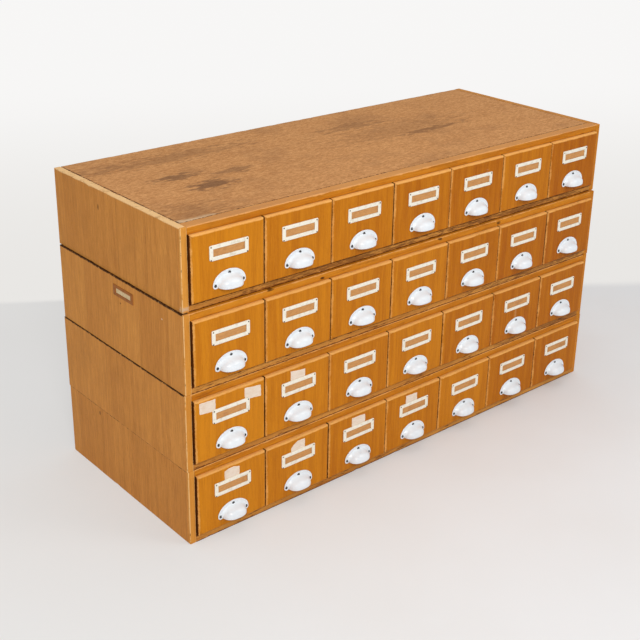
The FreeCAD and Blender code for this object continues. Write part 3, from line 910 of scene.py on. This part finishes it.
# Label holder: rings of the frame's cross-section, from the outline over a raised lip to the opening. The
# slip is the card in it, and off is the usual distance of a holder from its place
holder = dict(
    wide=80.0, high=27.5, level=97.0, end=7.5, edge=7.0, thick=1.8, corner=1.4, clip=2.6, step=8.0,
    lip=0.35, pins=((-36.9, 10.8), (36.9, 10.8), (-37.0, -12.0), (37.0, -12.0)), pinWide=2.8, pinHigh=0.8,
    pinAbove=0.15,
    slipThick=0.5, off=0.3,
)


# A closed band round an opening: outer wall, rounding, flat, raised lip, inner wall and back. A row gives
# how far it lies from the outline to the opening, its height and its edge mark
def frameRings(its):
    wide, high, thick, lip = its["wide"], its["high"], its["thick"], its["lip"]
    outer = outline(wide, high, its["corner"], its["step"])
    outer = resample(np.concatenate([outer, outer[:1]]), 97)[:-1]
    opening = np.array([wide / 2 - its["end"], high / 2 - its["edge"]])
    inner = np.clip(outer, -opening, opening)
    cut = wide / 2 - np.abs(outer[:, 0]) + (outer[:, 1] + high / 2)
    push = np.clip(its["clip"] - cut, 0, None)[:, None] / 2
    outer = outer + push * np.stack([-np.sign(outer[:, 0]), np.ones(len(outer))], -1)
    rows = [(0, 0, 0), (0, thick - 0.5, 0.6), (0.05, thick - 0.12, 0.8), (0.14, thick, 0.4),
            (0.6, thick - 0.1, 0), (0.8, thick + lip * 0.3, 0.3), (0.92, thick + lip * 0.2, 0.6),
            (1, thick - 0.25, 1), (1, 0.3, 1), (0.6, 0, 0)]
    rings = np.array([np.insert(outer * (1 - s) + inner * s, 1, -h, axis=1) for s, h, _ in rows])
    return rings, np.repeat([row[2] for row in rows], len(outer))


# A thin sheet: an outline through the corners, made ragged, as a back ring and two front rings
def sheetRings(corners, thick, ragged, rng, step):
    around = np.linalg.norm(np.diff(corners, axis=0), axis=1).sum()
    path = resample(np.concatenate([corners, corners[:1]]), int(around / step) + 8)[:-1]
    away = path - path.mean(0)
    away = away / np.linalg.norm(away, axis=1, keepdims=True)
    path = path + away * (wander(np.arange(len(path)) * step, 5.0, rng) * ragged)[:, None]
    rows = [(0.0, 0.0), (0.0, 0.7 * thick), (0.4, thick)]
    return np.array([np.insert(path - away * i, 1, -h, axis=1) for i, h in rows])


# The sheet that fills a holder's opening but for a little play
def slipRings(its, play, ragged, rng, step):
    wide, high = its["wide"] / 2 - its["end"] - play, its["high"] / 2 - its["edge"] - play
    return sheetRings(np.array([(wide, high), (-wide, high), (-wide, -high), (wide, -high)]),
                      its["slipThick"], ragged, rng, step)


# Frame, pins and card of one drawer's holder, a little off its place at random
def buildHolder(unit, column):
    rng = np.random.default_rng(3000 + 10 * unit + column)
    its = holder
    title = f"drawer{unit}x{column}"
    across, up = rng.normal(0, its["off"]), rng.normal(0, its["off"])
    shift = facePlace(unit, column) + [across, 0, its["level"] + up]
    rings, edge = frameRings(its)
    drawerPiece(unit, column, title + "Holder", bandShape(rings, edge, shift), creamPaint)
    rise = -its["thick"] + its["pinAbove"]
    heads = [headShape(its["pinWide"], its["pinHigh"], False, shift + [x, rise, z], rng)
             for x, z in its["pins"]]
    drawerPiece(unit, column, title + "Pins", joinShapes(heads), pinSteel)
    card = slipRings(its, 0.05, 0.0, rng, 4.0)
    drawerPiece(unit, column, title + "Card", sheetShape(card, shift), tanCard)


for unit, column in everyDrawer():
    buildPull(unit, column)
    buildHolder(unit, column)
print("fittings made")

# Scraps of tape and paper on some fronts: corners in drawer coordinates, and how ragged they are torn
scrapSheet = {"thick": 0.22, "step": 1.5}
scraps = {
    "tapeLeft": (3, 1, ((-66.3, 131.8), (-33, 130.8), (-33, 107.5), (-66.3, 110.5)), 0.4),
    "tapeRight": (3, 1, ((30, 131), (65.6, 126.5), (65.6, 104), (30, 108.5)), 0.5),
    "slipA": (3, 2, ((-18.5, 130), (15.2, 126), (15.2, 104.5), (-18.5, 107.5)), 0.4),
    "slipB": (4, 1, ((-17.6, 128), (-8, 131), (3, 131), (15.2, 127), (15.2, 106), (-17.8, 109)), 0.4),
    "slipC": (4, 2, ((-17.2, 117.5), (-11, 124), (-2, 129.5), (15.6, 128.5), (15.8, 105.5), (-17.2, 108)),
              0.4),
    "slipD": (4, 3, ((-17.8, 129), (16.3, 127.8), (17, 98), (-17.4, 103.2)), 0.5),
    "slipE": (4, 4, ((-23, 128.4), (8.6, 127.2), (9, 106), (-22.5, 106)), 0.5),
}
for k, (title, (unit, column, corners, ragged)) in enumerate(scraps.items()):
    rng = np.random.default_rng(4000 + k)
    rings = sheetRings(np.array(corners), scrapSheet["thick"], ragged, rng, scrapSheet["step"])
    drawerPiece(unit, column, title, sheetShape(rings, facePlace(unit, column)), pinkTape)

# Label holder on the second unit's left side, turned to face left
sideHolder = dict(
    wide=67.0, high=21.0, end=9.0, edge=6.0, thick=1.1, corner=1.0, clip=0.8, step=6.0, lip=0.1,
    slipThick=0.35, back=190.5, level=124.5,
)


# Frame and paper, whose X becomes the cabinet's -Y and whose Y its X
def buildSideHolder():
    its = sideHolder
    shift = unitPlace(2) + [0, its["back"], its["level"]]
    rings, edge = frameRings(its)
    paper = slipRings(its, 0.1, 0.1, np.random.default_rng(4100), 2.0)
    rings, paper = (np.stack([part[..., 1], -part[..., 0], part[..., 2]], -1) for part in (rings, paper))
    carcassPiece(2, "sideHolder", bandShape(rings, edge, shift), brownBrass)
    carcassPiece(2, "sidePaper", sheetShape(paper, shift), barePaper)


buildSideHolder()
print("scraps and side holder made")

# Room: a pale floor that turns into a paler background behind the cabinet, soft lamps and the camera
room = dict(
    floor=(241, 240, 240), floorMottle=(233, 228, 224), nearBackground=(232, 230, 227),
    background=(246, 245, 244), half=14000.0, lineYaw=33.0, lineAt=(0.675, 0.03),
    paintedLiftFrom=(0.55, -0.75), paintedLift=0.55, backgroundEnd=3.2, world=(0.93, 0.965, 1.0), worldStrength=0.5,
)
view = dict(
    place=(-1.47969, -1.63518, 1.2254), yaw=40.516, pitch=22.195, roll=0.969, lens=63.828, shiftY=-0.075)
lamps = {
    "keyLamp": dict(
        place=(-1.9, -2.45, 2.3), target=(-0.1, 0, 0.3), size=1.2, power=50.0, tint=(1.0, 0.98, 0.95)),
    "rightLamp": dict(
        place=(1.2, -2.1, 2.3), target=(0, 0, 0.3), size=1.2, power=17.0, tint=(1.0, 0.99, 0.97)),
    "topLamp": dict(
        place=(0.2, 0.2, 3.4), target=(0, 0, 0.3), size=2.4, power=12.0, tint=(1.0, 1.0, 1.0)),
}


# A flat grid, darker near the cabinet. Beyond a soft line across the view, what the camera sees of it is
# the background's own light instead of the lamps'. Towards the left of the view it is in part that light
# too: a painted brightening that also lifts the cabinet's shadow there
def buildFloor():
    material, tree, shader = newMaterial("paleFloor")
    place, yaw = objectPlace(tree), math.radians(room["lineYaw"])
    ahead = vectorMaths("DOT_PRODUCT", place, (math.sin(yaw), math.cos(yaw), 0.0))
    line, soft = room["lineAt"]
    far = ramp(timesPlus(noise(place, 1.3, 2.0), 0.06, ahead), line - soft, line + soft)
    distance = ramp(ahead, line, room["backgroundEnd"])
    background = mix(distance, shade(*room["nearBackground"]), shade(*room["background"]))
    mottle = ramp(noise(place, 3.0, 3.0), 0.3, 0.7, 0.0, 0.25)
    colour = mix(mottle, shade(*room["floor"]), shade(*room["floorMottle"]))
    path = addNode(tree, "LightPath").outputs
    seen = maths("MAXIMUM", path["Is Camera Ray"], path["Is Glossy Ray"])
    seen = maths("MAXIMUM", seen, path["Is Transmission Ray"])
    across = vectorMaths("DOT_PRODUCT", place, (math.cos(yaw), -math.sin(yaw), 0.0))
    # Painted light: a glow seen by the camera, rising towards the left, that lightens the floor and its
    # shadow
    paintedLift = times(ramp(across, *room["paintedLiftFrom"]), room["paintedLift"])
    glow = times(maths("MAXIMUM", far, paintedLift), seen)
    fillInputs(shader, {
        "Base Color": mix(glow, colour, (0.0, 0.0, 0.0, 1.0)), "Roughness": 0.9, "Specular IOR Level": 0.1,
        "Emission Color": background, "Emission Strength": glow,
        "Normal": bump(noise(place, 30.0, 3.0), 0.001, 0.2)})
    gridX, gridY = np.meshgrid(*[np.linspace(-room["half"], room["half"], 9)] * 2)
    points = np.stack([gridX, gridY, 0 * gridX], -1) * 0.001
    mesh = bpy.data.meshes.new("floor")
    mesh.from_pydata(points.reshape(-1, 3), [], gridQuads(gridIndex(points)).tolist())
    mesh.materials.append(material)
    floor = bpy.data.objects.new("floor", mesh)
    bpy.context.collection.objects.link(floor)


# The world's even light, and round area lamps that look at their targets
def buildLights():
    world = bpy.data.worlds.new("softRoom")
    bpy.context.scene.world = world
    world.use_nodes = True
    back = world.node_tree.nodes["Background"]
    fillInputs(back, {"Color": (*room["world"], 1), "Strength": room["worldStrength"]})
    for name, lamp in lamps.items():
        light = bpy.data.lights.new(name, "AREA")
        light.shape, light.size = "DISK", lamp["size"]
        light.energy, light.color = lamp["power"], lamp["tint"]
        shown = bpy.data.objects.new(name, light)
        shown.location = lamp["place"]
        away = Vector(lamp["target"]) - Vector(lamp["place"])
        shown.rotation_euler = away.to_track_quat("-Z", "Y").to_euler()
        bpy.context.collection.objects.link(shown)


# Right, up and backward axes from the yaw, the downward pitch and the roll
def buildCamera():
    yaw, pitch, roll = (math.radians(view[key]) for key in ("yaw", "pitch", "roll"))
    forward = np.array([math.sin(yaw) * math.cos(pitch), math.cos(yaw) * math.cos(pitch), -math.sin(pitch)])
    level = np.array([math.cos(yaw), -math.sin(yaw), 0.0])
    up = np.cross(level, forward)
    right = math.cos(roll) * level + math.sin(roll) * up
    up = -math.sin(roll) * level + math.cos(roll) * up
    lens = bpy.data.cameras.new("camera")
    lens.sensor_width = 36.0
    lens.lens = view["lens"]
    lens.shift_y = view["shiftY"]
    camera = bpy.data.objects.new("camera", lens)
    turn = Matrix([list(row) for row in np.stack([right, up, -forward], -1)])
    camera.matrix_world = Matrix.Translation(view["place"]) @ turn.to_4x4()
    bpy.context.collection.objects.link(camera)
    bpy.context.scene.camera = camera


buildFloor()
buildLights()
buildCamera()
bpy.context.scene.view_settings.view_transform = "Standard"
print("room made")
